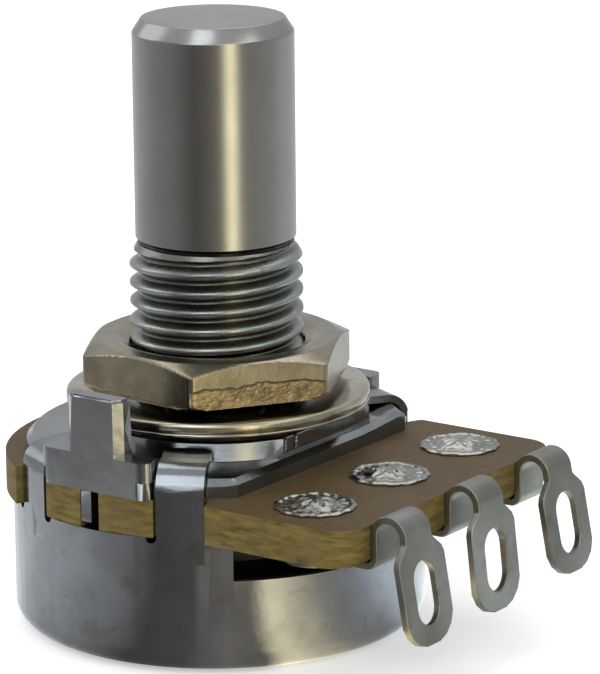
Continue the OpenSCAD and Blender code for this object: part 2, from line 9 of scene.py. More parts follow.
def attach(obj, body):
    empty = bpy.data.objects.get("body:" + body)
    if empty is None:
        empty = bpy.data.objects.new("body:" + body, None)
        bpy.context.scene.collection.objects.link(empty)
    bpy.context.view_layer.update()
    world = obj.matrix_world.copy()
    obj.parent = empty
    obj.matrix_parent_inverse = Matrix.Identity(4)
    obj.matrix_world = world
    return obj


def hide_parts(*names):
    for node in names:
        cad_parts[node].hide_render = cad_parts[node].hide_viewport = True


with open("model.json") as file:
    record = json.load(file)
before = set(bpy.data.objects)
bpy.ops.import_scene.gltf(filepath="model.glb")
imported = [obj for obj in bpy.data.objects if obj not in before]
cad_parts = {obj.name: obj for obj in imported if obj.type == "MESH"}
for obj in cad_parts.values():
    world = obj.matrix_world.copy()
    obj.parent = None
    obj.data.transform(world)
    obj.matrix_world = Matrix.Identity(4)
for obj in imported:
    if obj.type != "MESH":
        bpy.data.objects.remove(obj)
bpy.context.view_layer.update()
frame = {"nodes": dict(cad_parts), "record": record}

MM = 0.001
rec = frame["record"]
nodes = frame["nodes"]

# heights and radii of the solids, in mm
WAFER_TOP, FLANGE_TOP, DECK, SEAT = 6.95, 7.65, 8.42, 9.0
BUSHING_TOP, SHOULDER, SHAFT_TIP = 15.3, 15.42, 24.2
COVER_R, BORE_R, NECK_R, SHAFT_R = 8.22, 2.5, 2.45, 3.175
# wall of the bushing between the seat and its first thread groove
LEAD_R = 3.18

# ---------------------------------------------------------------- camera
# azimuth, elevation and roll; distance in mm, focal length in pixels of a 600 pixel wide picture
AZ, EL = math.radians(-54.531), math.radians(14.375)
ROLL, DIST, FPX = math.radians(-0.542), 160.224, 4042.008
SIDE, AIM_Z = 3.272, 11.297


def make_camera():
    """A camera placed and turned as the photograph's was, fitted to that picture."""
    back = Vector((math.sin(AZ) * math.cos(EL), -math.cos(AZ) * math.cos(EL), math.sin(EL)))
    right = Vector((math.cos(AZ), math.sin(AZ), 0.0))
    up = back.cross(right)
    x = right * math.cos(ROLL) + up * math.sin(ROLL)
    y = -right * math.sin(ROLL) + up * math.cos(ROLL)
    place = Vector((0, 0, AIM_Z)) + right * SIDE + back * DIST
    cam = bpy.data.cameras.new("camera")
    cam.sensor_fit = "HORIZONTAL"
    cam.sensor_width = 36.0
    cam.lens = FPX * 36.0 / 600.0
    cam.clip_start, cam.clip_end = 0.01, 20.0
    obj = bpy.data.objects.new("camera", cam)
    bpy.context.scene.collection.objects.link(obj)
    m = Matrix((x, y, back)).transposed().to_4x4()
    m.translation = place * MM
    obj.matrix_world = m
    bpy.context.scene.camera = obj
    return obj


make_camera()
bpy.context.scene.view_settings.view_transform = "Standard"
# horizontal unit vectors towards the camera and to its right
FRONT = Vector((math.sin(AZ), -math.cos(AZ), 0.0))
RIGHT = Vector((math.cos(AZ), math.sin(AZ), 0.0))


# ---------------------------------------------------------------- node helpers
class Nodes:
    """Small helper that adds and links nodes in one tree."""

    def __init__(self, tree):
        self.t = tree
        tree.nodes.clear()

    def add(self, kind, **props):
        n = self.t.nodes.new(kind)
        for k, v in props.items():
            setattr(n, k, v)
        return n

    def link(self, a, b):
        self.t.links.new(a, b)

    def value(self, sock, v):
        if hasattr(v, "node"):
            self.link(v, sock)
        else:
            sock.default_value = v

    def math(self, op, a, b=0.0):
        n = self.add("ShaderNodeMath", operation=op)
        self.value(n.inputs[0], a)
        self.value(n.inputs[1], b)
        return n.outputs[0]

    def mix(self, fac, a, b):
        n = self.add("ShaderNodeMix", data_type="RGBA")
        self.value(n.inputs["Factor"], fac)
        for s, v in ((n.inputs["A"], a), (n.inputs["B"], b)):
            if hasattr(v, "node"):
                self.link(v, s)
            else:
                s.default_value = (*v, 1.0) if len(v) == 3 else v
        return n.outputs["Result"]

    def mixf(self, fac, a, b):
        n = self.add("ShaderNodeMix", data_type="FLOAT")
        self.value(n.inputs["Factor"], fac)
        self.value(n.inputs["A"], a)
        self.value(n.inputs["B"], b)
        return n.outputs["Result"]

    def ramp(self, fac, stops):
        n = self.add("ShaderNodeValToRGB")
        els = n.color_ramp.elements
        while len(els) < len(stops):
            els.new(0.5)
        for e, (p, c) in zip(els, stops):
            e.position = p
            e.color = (*c, 1.0) if hasattr(c, "__len__") else (c, c, c, 1.0)
        self.link(fac, n.inputs[0])
        return n.outputs[0]

    def noise(self, scale, detail=4.0, rough=0.55, stretch=(1, 1, 1), dist=0.0):
        n = self.add("ShaderNodeTexNoise")
        n.inputs["Scale"].default_value = scale
        n.inputs["Detail"].default_value = detail
        n.inputs["Roughness"].default_value = rough
        n.inputs["Distortion"].default_value = dist
        self.link(self.coords(stretch), n.inputs["Vector"])
        return n.outputs["Fac"]

    def coords(self, stretch):
        tc = self.add("ShaderNodeTexCoord")
        mp = self.add("ShaderNodeMapping")
        mp.inputs["Scale"].default_value = stretch
        self.link(tc.outputs["Object"], mp.inputs["Vector"])
        return mp.outputs["Vector"]

    def bump(self, height, strength, distance, normal=None):
        n = self.add("ShaderNodeBump")
        n.inputs["Strength"].default_value = strength
        n.inputs["Distance"].default_value = distance
        self.link(height, n.inputs["Height"])
        if normal is not None:
            self.link(normal, n.inputs["Normal"])
        return n.outputs["Normal"]


def srgb(r, g, b):
    """Linear colour from sRGB values of 0 to 255."""
    def f(c):
        c /= 255.0
        return c / 12.92 if c <= 0.04045 else ((c + 0.055) / 1.055) ** 2.4
    return (f(r), f(g), f(b))


def material(name):
    m = bpy.data.materials.new(name)
    m.use_nodes = True
    n = Nodes(m.node_tree)
    out = n.add("ShaderNodeOutputMaterial")
    bsdf = n.add("ShaderNodeBsdfPrincipled")
    n.link(bsdf.outputs[0], out.inputs["Surface"])
    return m, n, bsdf


def metal(name, colour, dark, rough, spread, grain, bump=0.25, stretch=(1, 1, 1),
          stain=None, stain_amount=0.0, aniso=0.0, tangent=False, wave=0.0, groove=None):
    """Bare metal: fine grain in roughness and normal, slow blotches in colour, faint stains, and painted
    shade towards the groove colour where the "groove" attribute is set.
    """
    m, n, b = material(name)
    b.inputs["Metallic"].default_value = 1.0
    fine = n.noise(grain, 6.0, 0.65, stretch=stretch)
    blotch = n.noise(420.0, 3.0, 0.5)
    colour_out = n.mix(n.ramp(blotch, [(0.3, 0.0), (0.72, 1.0)]), colour, dark)
    if stain is not None:
        spots = n.ramp(n.noise(900.0, 5.0, 0.6, dist=0.6), [(0.56, 0.0), (0.72, 1.0)])
        colour_out = n.mix(n.math("MULTIPLY", spots, stain_amount), colour_out, stain)
    # painted shade: where the "groove" attribute is set, the colour goes towards the darker groove colour
    if groove is not None:
        at = n.add("ShaderNodeAttribute", attribute_name="groove")
        colour_out = n.mix(at.outputs["Fac"], colour_out, groove)
    n.link(colour_out, b.inputs["Base Color"])
    r = n.math("ADD", n.math("MULTIPLY", n.math("SUBTRACT", fine, 0.5), spread),
               n.math("ADD", n.math("MULTIPLY", n.math("SUBTRACT", blotch, 0.5), spread), rough))
    n.link(r, b.inputs["Roughness"])
    under = n.bump(n.noise(1300.0, 2.0, 0.5), 1.0, wave * MM) if wave else None
    n.link(n.bump(fine, bump, 0.00002, under), b.inputs["Normal"])
    b.inputs["Anisotropic"].default_value = aniso
    if tangent:
        t = n.add("ShaderNodeTangent", direction_type="RADIAL", axis="Z")
        n.link(t.outputs[0], b.inputs["Tangent"])
    return m


MAT = {}
MAT["shaft"] = metal("shaft_turned", srgb(152, 152, 149), srgb(144, 144, 141), 0.20, 0.06,
                     5200.0, 0.12, (1, 1, 12), srgb(110, 104, 96), 0.12, aniso=0.5, tangent=True, wave=0.002)
MAT["cast"] = metal("diecast_zinc", srgb(147, 149, 149), srgb(122, 124, 125), 0.14, 0.10,
                    4200.0, 0.18, stain=srgb(88, 84, 74), stain_amount=0.4, wave=0.010)
# the groove colour is painted shade for the thread's grooves and for the top of the thread under the shaft's
# shoulder
MAT["thread"] = metal("diecast_thread", srgb(160, 164, 161), srgb(128, 132, 129), 0.25, 0.20,
                      3600.0, 0.75, stain=srgb(90, 86, 76), stain_amount=0.45,
                      groove=srgb(98, 98, 90))
MAT["cover"] = metal("cover_steel_plate", srgb(144, 147, 151), srgb(126, 128, 130), 0.16, 0.12,
                     5000.0, 0.18, stain=srgb(92, 84, 72), stain_amount=0.35, wave=0.008)
MAT["washer"] = metal("washer_plate", srgb(190, 184, 166), srgb(150, 143, 124), 0.17, 0.12,
                      6200.0, 0.25, stain=srgb(80, 66, 46), stain_amount=0.5)
MAT["rivet"] = metal("rivet_tin", srgb(158, 158, 150), srgb(116, 118, 112), 0.20, 0.12,
                     6000.0, 0.3, stain=srgb(92, 90, 80), stain_amount=0.4)
MAT["lug"] = metal("lug_tin", srgb(141, 141, 136), srgb(115, 115, 108), 0.40, 0.16,
                   5200.0, 0.4, stain=srgb(88, 86, 74), stain_amount=0.5)
MAT["clip"] = metal("clip_spring_steel", srgb(98, 98, 98), srgb(70, 70, 72), 0.35, 0.15,
                    5200.0, 0.2)
MAT["bronze"] = metal("spring_bronze", srgb(196, 160, 96), srgb(160, 124, 70), 0.28, 0.14,
                      5200.0, 0.2)
MAT["silver"] = metal("silver_print", srgb(190, 190, 186), srgb(160, 160, 156), 0.5, 0.2,
                      9000.0, 0.5)


def nut_side():
    """Nut flats: bright plating above, torn brown shear zone below, by the height on the nut."""
    m, n, b = material("nut_flats")
    b.inputs["Metallic"].default_value = 1.0
    at = n.add("ShaderNodeAttribute", attribute_name="torn")
    torn = at.outputs["Fac"]
    fine = n.noise(6200.0, 6.0, 0.65)
    blotch = n.noise(700.0, 4.0, 0.6)
    plate = n.mix(n.ramp(blotch, [(0.3, 0.0), (0.7, 1.0)]), srgb(156, 149, 129), srgb(126, 118, 98))
    rust = n.mix(n.ramp(n.noise(2600.0, 6.0, 0.7), [(0.35, 0.0), (0.65, 1.0)]),
                 srgb(176, 158, 124), srgb(116, 101, 76))
    n.link(n.mix(torn, plate, rust), b.inputs["Base Color"])
    r = n.math("ADD", n.mixf(torn, 0.20, 0.37), n.math("MULTIPLY", n.math("SUBTRACT", fine, 0.5), 0.2))
    n.link(r, b.inputs["Roughness"])
    n.link(n.bump(fine, 0.3, 0.00002), b.inputs["Normal"])
    return m


def laminate():
    """Paper laminate: brown faces, yellow-olive cut edge with fine layers."""
    m, n, b = material("laminate")
    geo = n.add("ShaderNodeNewGeometry")
    sep = n.add("ShaderNodeSeparateXYZ")
    n.link(geo.outputs["True Normal"], sep.inputs[0])
    facing = n.ramp(n.math("ABSOLUTE", sep.outputs["Z"]), [(0.35, 0.0), (0.75, 1.0)])
    fibre = n.noise(2400.0, 6.0, 0.62, stretch=(1, 3, 1))
    cloud = n.noise(330.0, 4.0, 0.55)
    face = n.mix(n.ramp(cloud, [(0.32, 0.0), (0.68, 1.0)]), srgb(85, 67, 35), srgb(68, 52, 27))
    face = n.mix(n.ramp(fibre, [(0.35, 0.0), (0.75, 1.0)]), face, srgb(95, 76, 42))
    layers = n.noise(1500.0, 5.0, 0.62, stretch=(0.6, 0.6, 3.2))
    edge = n.mix(n.ramp(layers, [(0.34, 0.0), (0.64, 1.0)]), srgb(86, 74, 34), srgb(132, 113, 56))
    edge = n.mix(n.ramp(n.noise(1500.0, 4.0, 0.6, stretch=(1, 1, 0.4)), [(0.5, 0.0), (0.75, 1.0)]),
                 edge, srgb(112, 96, 66))
    n.link(n.mix(facing, edge, face), b.inputs["Base Color"])
    b.inputs["Specular IOR Level"].default_value = 0.28
    n.link(n.mixf(facing, 0.66, 0.54), b.inputs["Roughness"])
    bmp = n.bump(layers, 0.35, 0.00003)
    n.link(n.bump(fibre, 0.3, 0.00002, bmp), b.inputs["Normal"])
    return m


def moulded(name, colour, lighter, rough):
    """Dull moulded or printed material with fine grain."""
    m, n, b = material(name)
    cloud = n.noise(800.0, 5.0, 0.6)
    grain = n.noise(7000.0, 4.0, 0.6)
    n.link(n.mix(n.ramp(cloud, [(0.35, 0.0), (0.7, 1.0)]), colour, lighter), b.inputs["Base Color"])
    n.link(n.math("ADD", n.math("MULTIPLY", n.math("SUBTRACT", grain, 0.5), 0.25), rough),
           b.inputs["Roughness"])
    n.link(n.bump(grain, 0.3, 0.00002), b.inputs["Normal"])
    return m


MAT["nut_side"] = nut_side()
MAT["laminate"] = laminate()
MAT["plastic"] = moulded("rotor_phenolic", srgb(34, 32, 31), srgb(52, 48, 44), 0.42)
MAT["carbon"] = moulded("carbon_print", srgb(24, 24, 25), srgb(40, 40, 42), 0.55)


# ---------------------------------------------------------------- mesh helpers
def add_object(name, bm, mats, body, cad, angle=32.0):
    """Makes a piece from bm that rides on body and replaces the nodes in cad."""
    me = bpy.data.meshes.new(name)
    bm.normal_update()
    bm.to_mesh(me)
    bm.free()
    obj = bpy.data.objects.new(name, me)
    bpy.context.scene.collection.objects.link(obj)
    for m in mats:
        me.materials.append(m)
    me.shade_smooth()
    me.set_sharp_from_angle(angle=math.radians(angle))
    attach(obj, body)
    if cad:
        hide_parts(*cad)
    return obj


def grid_faces(bm, rows, flip=False):
    """Joins closed rows of vertices with quads, or triangles where vertices repeat."""
    for a, b in zip(rows[:-1], rows[1:]):
        n = len(a)
        for i in range(n):
            j = (i + 1) % n
            f = (a[i], a[j], b[j], b[i])
            if flip:
                f = f[::-1]
            if len(set(f)) > 2:
                bm.faces.new([v for k, v in enumerate(f) if v not in f[:k]])


def lathe(bm, profile, steps, shape=None):
    """Closed revolve of an open profile that starts and ends on the axis, or of a closed one."""
    rows = []
    for r, z in profile:
        if r < 1e-6:
            v = bm.verts.new((0, 0, z * MM))
            rows.append([v] * steps)
            continue
        row = []
        for i in range(steps):
            t = 2 * math.pi * i / steps
            x, y, zz = r * math.cos(t), r * math.sin(t), z
            if shape:
                x, y, zz = shape(x, y, zz)
            row.append(bm.verts.new((x * MM, y * MM, zz * MM)))
        rows.append(row)
    return rows


def rounded(points, radius, cuts=3):
    """Rounds the corners of an open polyline of (r, z)."""
    out = [points[0]]
    for p, q, s in zip(points[:-2], points[1:-1], points[2:]):
        a, b = Vector(p) - Vector(q), Vector(s) - Vector(q)
        la, lb = a.length, b.length
        if la < 1e-9 or lb < 1e-9:
            continue
        turn = a.normalized().dot(b.normalized())
        if turn < -0.999:
            out.append(q)
            continue
        d = min(radius, la * 0.45, lb * 0.45)
        p0, p2 = Vector(q) + a.normalized() * d, Vector(q) + b.normalized() * d
        for k in range(cuts + 1):
            t = k / cuts
            w = p0 * (1 - t) ** 2 + Vector(q) * 2 * t * (1 - t) + p2 * t ** 2
            out.append((w.x, w.y))
    out.append(points[-1])
    return out


def from_cad(cad, new, mats, width, segments=3, cut=None, angle=30.0):
    """A copy of a node's surface with its faces joined, then its edges rounded."""
    bm = bmesh.new()
    bm.from_mesh(nodes[cad].data)
    bmesh.ops.remove_doubles(bm, verts=bm.verts, dist=2e-6)
    if cut:
        cut(bm)
    bmesh.ops.dissolve_limit(bm, angle_limit=math.radians(1.0), verts=bm.verts, edges=bm.edges)
    body = next(b for b, m in rec["behaviour"]["bodies"].items() if cad in m)
    obj = add_object(new, bm, mats, body, [cad])
    if width:
        mod = obj.modifiers.new("edges", "BEVEL")
        mod.width = width * MM
        mod.segments = segments
        mod.limit_method = "ANGLE"
        mod.angle_limit = math.radians(angle)
        mod.miter_outer = "MITER_ARC"
        mod.use_clamp_overlap = True
    obj.modifiers.new("normals", "WEIGHTED_NORMAL").keep_sharp = True
    return obj


def closed_cap(bm, z, r_max):
    """Removes what stands above z inside r_max and closes the wall with a ring round the bore."""
    geom = bm.verts[:] + bm.edges[:] + bm.faces[:]
    bmesh.ops.bisect_plane(bm, geom=geom, plane_co=(0, 0, z * MM), plane_no=(0, 0, 1), dist=1e-7)
    kill = [f for f in bm.faces
            if f.calc_center_median().z > z * MM + 1e-7
            and math.hypot(*f.calc_center_median().xy) < r_max * MM]
    bmesh.ops.delete(bm, geom=kill, context="FACES")
    edges = [e for e in bm.edges if e.is_boundary]
    bmesh.ops.bridge_loops(bm, edges=edges)


def round_edges(bm, pick, width, segments=4):
    """Rounds the edges that pick chooses."""
    edges = [e for e in bm.edges if len(e.link_faces) == 2 and pick(e)]
    if edges:
        bmesh.ops.bevel(bm, geom=edges, offset=width * MM, offset_type="OFFSET", segments=segments,
                        profile=0.5, affect="EDGES", clamp_overlap=True)


def level(e, z):
    """Whether an edge lies at height z."""
    return all(abs(v.co.z - z * MM) < 4e-6 for v in e.verts)


def reach(e):
    """How far from the axis an edge gets, in mm."""
    return max(math.hypot(v.co.x, v.co.y) for v in e.verts) / MM


def steep_and_flat(e):
    """Whether an edge joins an upright face to a level one."""
    a, b = sorted(abs(f.normal.z) for f in e.link_faces)
    return a < 0.35 and b > 0.9


def dress_plate(bm):
    """Cast forms: draft and fillet round the platform, rounder edges, a turned peg chamfer."""
    closed_cap(bm, SEAT, 4.0)
    bmesh.ops.dissolve_limit(bm, angle_limit=math.radians(1.0), verts=bm.verts, edges=bm.edges)
    bm.normal_update()
    foot = [e for e in bm.edges if len(e.link_faces) == 2 and level(e, FLANGE_TOP) and reach(e) < 6.12
            and steep_and_flat(e)]
    for v in {v for e in foot for v in e.verts}:
        x, y = v.co.x / MM, v.co.y / MM
        r = math.hypot(x, y)
        if y > -4.5 and r > 4.8:
            v.co.x *= (r + 0.13) / r
            v.co.y *= (r + 0.13) / r
    for v in bm.verts:
        x, y, z = v.co / MM
        if abs(y + 4.55) < 0.01 and z > 7.6:
            v.co.y = -4.65 * MM
        if z > 8.43 and x < -7.0:
            # one clean taper up the peg
            if z < 9.7:
                v.co.x = (-8.2 if x < -8.1 else x) * MM
                v.co.y = math.copysign(1.35 if abs(y) > 1.3 else 0.95, y) * MM
                v.co.z = 9.57 * MM
        # the peg's front chamfer, narrow and turned to its side
        if z > 8.4 and y < -0.8 and x < -7.0:
            if abs(x + 7.8) < 0.04:
                v.co.x = -7.855 * MM
            elif x < -8.05 and abs(y + 0.93) < 0.09:
                v.co.y -= 0.12 * MM
        if z < 6.97 and abs(x + 8.0) < 0.01:
            v.co.x = -8.14 * MM
        if abs(y + 5.1) < 0.01 and 7.3 < z < 7.5:
            v.co.z += 0.05 * MM
    bmesh.ops.remove_doubles(bm, verts=bm.verts, dist=2e-6)
    bmesh.ops.dissolve_degenerate(bm, edges=bm.edges, dist=1e-7)
    # the flange swells towards its right end, up to the tab that grips it
    for x0 in (2.6, 3.6, 4.4, 5.2, 6.0):
        geom = bm.verts[:] + bm.edges[:] + bm.faces[:]
        bmesh.ops.bisect_plane(bm, geom=geom, plane_co=(x0 * MM, 0, 0), plane_no=(1, 0, 0), dist=1e-7)
    for v in bm.verts:
        x, y, z = v.co / MM
        if y < -3.9 and x > 2.6 and 7.3 < z < 7.7:
            w = min(1.0, (x - 2.6) / 3.0)
            v.co.z += 0.17 * w * w * (3 - 2 * w) * MM
    bm.normal_update()
    round_edges(bm, lambda e: level(e, FLANGE_TOP) and reach(e) < 6.3 and steep_and_flat(e)
                and not e.is_convex, 0.26, 5)
    round_edges(bm, lambda e: level(e, DECK) and 4.4 < reach(e) < 6.12 and steep_and_flat(e)
                and e.is_convex, 0.17, 5)
    bead(bm, -1.98, -4.68, 1.0)
    bead(bm, -1.26, -4.68, 7.0)


def bead(bm, x, y, seed):
    """A small upright ridge on the platform's side."""
    rows = []
    for k in range(15):
        z = 7.74 + 0.64 * k / 14
        r = 0.075 + 0.03 * noise.noise((seed, 0.0, z * 5.0)) if 0 < k < 14 else 0.01
        rows.append([bm.verts.new(((x + r * math.cos(a)) * MM, (y + r * math.sin(a)) * MM, z * MM))
                     for a in (math.pi * i / 6 for i in range(12))])
    grid_faces(bm, rows)
    bm.faces.new(rows[0][::-1])
    bm.faces.new(rows[-1])


# per tab: its angle, top of the folded arm, outer bend radius, height of the bend's centre, tilt
TABS = ((25.9, 7.95, 1.0, 7.0, 5.0), (154.1, 7.95, 1.0, 7.0, 6.0),
        (205.9, 8.03, 1.15, 7.12, 11.0), (334.1, 8.17, 1.0, 7.16, 3.0))


def fold_tab(bm, deg, top, bend, centre, tilt):
    """Opens the sharp fold of a tab into the wide soft bend of the real one."""
    a = math.radians(deg)
    c, s = math.cos(a), math.sin(a)
    t = math.radians(90 - tilt)
    foot = top - 0.55
    for v in bm.verts:
        x, y, z = v.co / MM
        u, w = x * c + y * s, -x * s + y * c
        if abs(w) > 0.95 or u < 6.0 or z < foot - 1e-4:
            continue
        if u < 7.672:
            d = top - z
            run = (7.67 - u) / 1.57 * (COVER_R - bend + bend * math.cos(t) - 6.1) / math.sin(t)
            u2 = COVER_R - bend + (bend - d) * math.cos(t) - run * math.sin(t)
            z2 = centre + (bend - d) * math.sin(t) + run * math.cos(t)
        else:
            ang = math.atan2(max(0.0, z - foot), u - 7.67)
            d = 0.55 - math.hypot(u - 7.67, z - foot)
            ang *= t / (math.pi / 2)
            u2 = COVER_R - bend + (bend - d) * math.cos(ang)
            z2 = centre + (bend - d) * math.sin(ang)
        v.co = Vector((u2 * c - w * s, u2 * s + w * c, z2)) * MM


def dress_cover(bm):
    """The tabs' legs follow the round wall that they are cut from, and bend softly."""
    for deg in (25.9, 154.1, 205.9, 334.1):
        for k in (-4.5, -2.7, -0.9, 0.9, 2.7, 4.5):
            a = math.radians(deg + k)
            geom = bm.verts[:] + bm.edges[:] + bm.faces[:]
            bmesh.ops.bisect_plane(bm, geom=geom, plane_co=(0, 0, 0), dist=1e-7,
                                   plane_no=(-math.sin(a), math.cos(a), 0))
    for v in bm.verts:
        r = math.hypot(v.co.x, v.co.y) / MM
        if r > COVER_R + 0.0005 and v.co.z < 7.75 * MM:
            v.co.x *= COVER_R / r
            v.co.y *= COVER_R / r
    for tab in TABS:
        fold_tab(bm, *tab)


def dress_wafer(bm):
    """The sides under the ears are cut to the round of the cover."""
    for k in range(-10, 11):
        geom = bm.verts[:] + bm.edges[:] + bm.faces[:]
        bmesh.ops.bisect_plane(bm, geom=geom, plane_co=(0, 0.225 * k * MM, 0), dist=1e-7,
                               plane_no=(0, 1, 0))
    for v in bm.verts:
        x, y = v.co.x / MM, v.co.y / MM
        if abs(x) > 7.89 and abs(y) < 2.3:
            v.co.x = math.copysign(max(abs(x), math.sqrt(8.17 ** 2 - y * y)), x) * MM


# ---------------------------------------------------------------- shaft
def make_shaft():
    """Turned shaft with its drive flat, groove, neck, shoulder and chamfered tip."""
    bm = bmesh.new()
    prof = [(0, 1.9), (1.8, 1.9), (2.0, 2.1), (2.0, 4.8), (NECK_R, 4.8), (NECK_R, 7.10), (2.0, 7.10),
            (2.0, 7.60), (NECK_R, 7.60), (NECK_R, SHOULDER), (3.05, SHOULDER), (SHAFT_R, 15.54)]
    low = rounded(prof, 0.03, 2)
    body = [(SHAFT_R, 15.54 + 0.64 * k) for k in range(1, 13)]
    top = [(SHAFT_R, 23.3), (SHAFT_R, 23.65), (2.815, SHAFT_TIP), (0, SHAFT_TIP)]
    high = rounded(top, 0.05, 4)[1:-1]
    face = [(2.815 * (1 - k / 6) - 0.08, SHAFT_TIP) for k in range(1, 6)] + [(0, SHAFT_TIP)]

    def flat(x, y, z):
        if z < 4.78 and x > 1.45:
            x = 1.45
        return x, y, z

    rows = lathe(bm, low + body + high + face, 192, flat)
    grid_faces(bm, rows)
    bmesh.ops.remove_doubles(bm, verts=bm.verts, dist=1e-7)
    return add_object("shaft_turned", bm, [MAT["shaft"]], "shaft_set", ["shaft"], 30)


# ---------------------------------------------------------------- bushing thread
THREAD = dict(crest=3.43, root=3.03, pitch=0.75, z0=9.02, z1=BUSHING_TOP)


def thread_r(z, turn):
    """Radius of the right-hand thread at height z and angle turn (0..1)."""
    p = THREAD["pitch"]
    ph = ((z - 9.42) / p - turn - 0.32) % 1.0
    d = abs(ph - 0.5) * 2.0          # 1 at the crest, 0 in the middle of the groove
    w = min(1.0, max(0.0, (d - 0.12) / 0.74))
    w = w * w * (3 - 2 * w) * 0.45 + w * 0.55
    return THREAD["root"] + (THREAD["crest"] - THREAD["root"]) * w


def make_thread():
    """The bushing above the seat with its helical thread; "groove" is painted shade that darkens the grooves
    and the top of the thread just under the shaft's shoulder.
    """
    bm = bmesh.new()
    lay = bm.verts.layers.float.new("groove")
    steps = 160
    rows = []
    z = THREAD["z0"]
    zs = []
    while z < THREAD["z1"] - 1e-6:
        zs.append(z)
        z += 0.0375
    zs.append(THREAD["z1"])
    for z in zs:
        row = []
        for i in range(steps):
            t = i / steps
            r = thread_r(z, t)
            if z < 9.40:
                r = LEAD_R
            elif z < 9.48:
                r = LEAD_R + (r - LEAD_R) * (z - 9.40) / 0.08
            if z > 14.70:
                r = min(r, THREAD["crest"] - 0.33 * (z - 14.70) / 0.60)
            a = 2 * math.pi * t
            w = 0.006 * noise.noise((math.cos(a) * 5, math.sin(a) * 5, z * 3))
            v = bm.verts.new(((r + w) * math.cos(a) * MM, (r + w) * math.sin(a) * MM, z * MM))
            # painted shade: darker the deeper in a groove, and a fixed 0.6 along the top of the thread under
            # the shaft's shoulder
            v[lay] = max(0.0, min(1.0, (3.34 - r) / 0.22)) if z < 15.1 else 0.6
            row.append(v)
        rows.append(row)
    # top face and bore
    for r, z in ((2.56, BUSHING_TOP), (BORE_R, 15.24), (BORE_R, 12.0), (BORE_R, 9.02)):
        rows.append([bm.verts.new((r * math.cos(2 * math.pi * i / steps) * MM,
                                   r * math.sin(2 * math.pi * i / steps) * MM, z * MM))
                     for i in range(steps)])
    rows.append(rows[0])
    grid_faces(bm, rows)
    return add_object("bushing_thread", bm, [MAT["thread"]], "housing", [], 50)


# ---------------------------------------------------------------- nut
NUT = dict(z=9.75, t=1.75, af=9.75, turn=-154.2, bore=3.48)


def make_nut():
    """Chamfered hex nut; "torn" marks the ragged band along the lower edge of its flats."""
    bm = bmesh.new()
    lay = bm.verts.layers.float.new("torn")
    steps = 6 * 96
    apo = NUT["af"] / 2
    corner = apo / math.cos(math.radians(30))
    z0, z1 = NUT["z"], NUT["z"] + NUT["t"]
    levels = [z0 + NUT["t"] * k / 44 for k in range(45)]
    turn = math.radians(NUT["turn"])
    rows = []
    for z in levels:
        row = []
        for i in range(steps):
            t = 2 * math.pi * i / steps
            u = (t + math.pi / 6) % (math.pi / 3) - math.pi / 6      # 0 at a corner
            off = math.pi / 6 - abs(u)                                # angle from the flat's middle
            r_hex = apo / math.cos(off)
            r = r_hex
            r = min(r, corner - 0.045)
            lim = corner - 0.9 * (z - (z1 - 0.42)) / 0.42
            k = 0.05
            h = max(0.0, min(1.0, 0.5 + 0.5 * (lim - r) / k))
            r = lim * (1 - h) + r * h - k * h * (1 - h)
            low = corner - 0.6 + 0.6 * (z - z0 + 0.2) / 0.4
            r = min(r, low)
            a = t + turn
            flat_no = int(t // (math.pi / 3))
            # torn shear zone along the lower edge of each flat, ragged at its top
            side = (t % (math.pi / 3)) / (math.pi / 3)
            height = (0.78, 0.14, 0.62, 0.80, 0.34, 0.16)[flat_no]
            edge = z0 + height + 0.10 * math.sin(3.1 * side + flat_no * 1.7) \
                + 0.12 * noise.noise((side * 4.2, flat_no * 9.1, 0.3)) \
                + 0.07 * noise.noise((side * 17.0, flat_no * 5.7, 4.0))
            torn = max(0.0, min(1.0, (edge - z) / 0.05))
            rough = noise.fractal((math.cos(a) * 40, math.sin(a) * 40, z * 7.0), 0.7, 2.1, 4)
            r -= torn * (0.02 + 0.030 * abs(rough))
            v = bm.verts.new((r * math.cos(a) * MM, r * math.sin(a) * MM, z * MM))
            v[lay] = torn
            row.append(v)
        rows.append(row)
    top = [(4.66, z1), (4.2, z1), (3.98, z1), (3.93, z1 - 0.02), (3.5, z1 - 0.24), (3.48, z1 - 0.3),
           (3.48, z0 + 0.05), (3.53, z0)]
    for r, z in top:
        rows.append([bm.verts.new((r * math.cos(2 * math.pi * i / steps + turn) * MM,
                                   r * math.sin(2 * math.pi * i / steps + turn) * MM, z * MM))
                     for i in range(steps)])
    rows.append(rows[0])
    grid_faces(bm, rows)
    return add_object("nut_plated", bm, [MAT["nut_side"]], "nut", ["hex_nut"], 35)


# ---------------------------------------------------------------- washer
def make_washer():
    """Punched washer: rolled upper edge, plain band and a burr that hangs at its lower edge."""
    bm = bmesh.new()
    prof = [(3.5, 9.02), (3.5, 9.38), (3.53, 9.4), (5.2, 9.4), (5.80, 9.4), (5.92, 9.39), (5.98, 9.365),
            (6.015, 9.32), (6.028, 9.25), (6.028, 9.08), (6.018, 9.04), (5.975, 9.01), (5.97, 8.99),
            (6.01, 8.965), (6.022, 8.93), (6.01, 8.89), (5.96, 8.865), (5.88, 8.88), (5.8, 8.94),
            (5.7, 9.0), (3.53, 9.0)]

    def shape(x, y, z):
        a = math.atan2(y, x)
        if z < 9.0 and math.hypot(x, y) > 5.6:
            z -= 0.012 * (1 + noise.noise((math.cos(a) * 9, math.sin(a) * 9, 2.0)))
        return x, y, z

    rows = lathe(bm, prof, 256, shape)
    rows.append(rows[0])
    grid_faces(bm, rows, flip=True)
    bmesh.ops.recalc_face_normals(bm, faces=bm.faces)
    return add_object("washer_punched", bm, [MAT["washer"]], "housing", ["flat_washer"],
                      40)


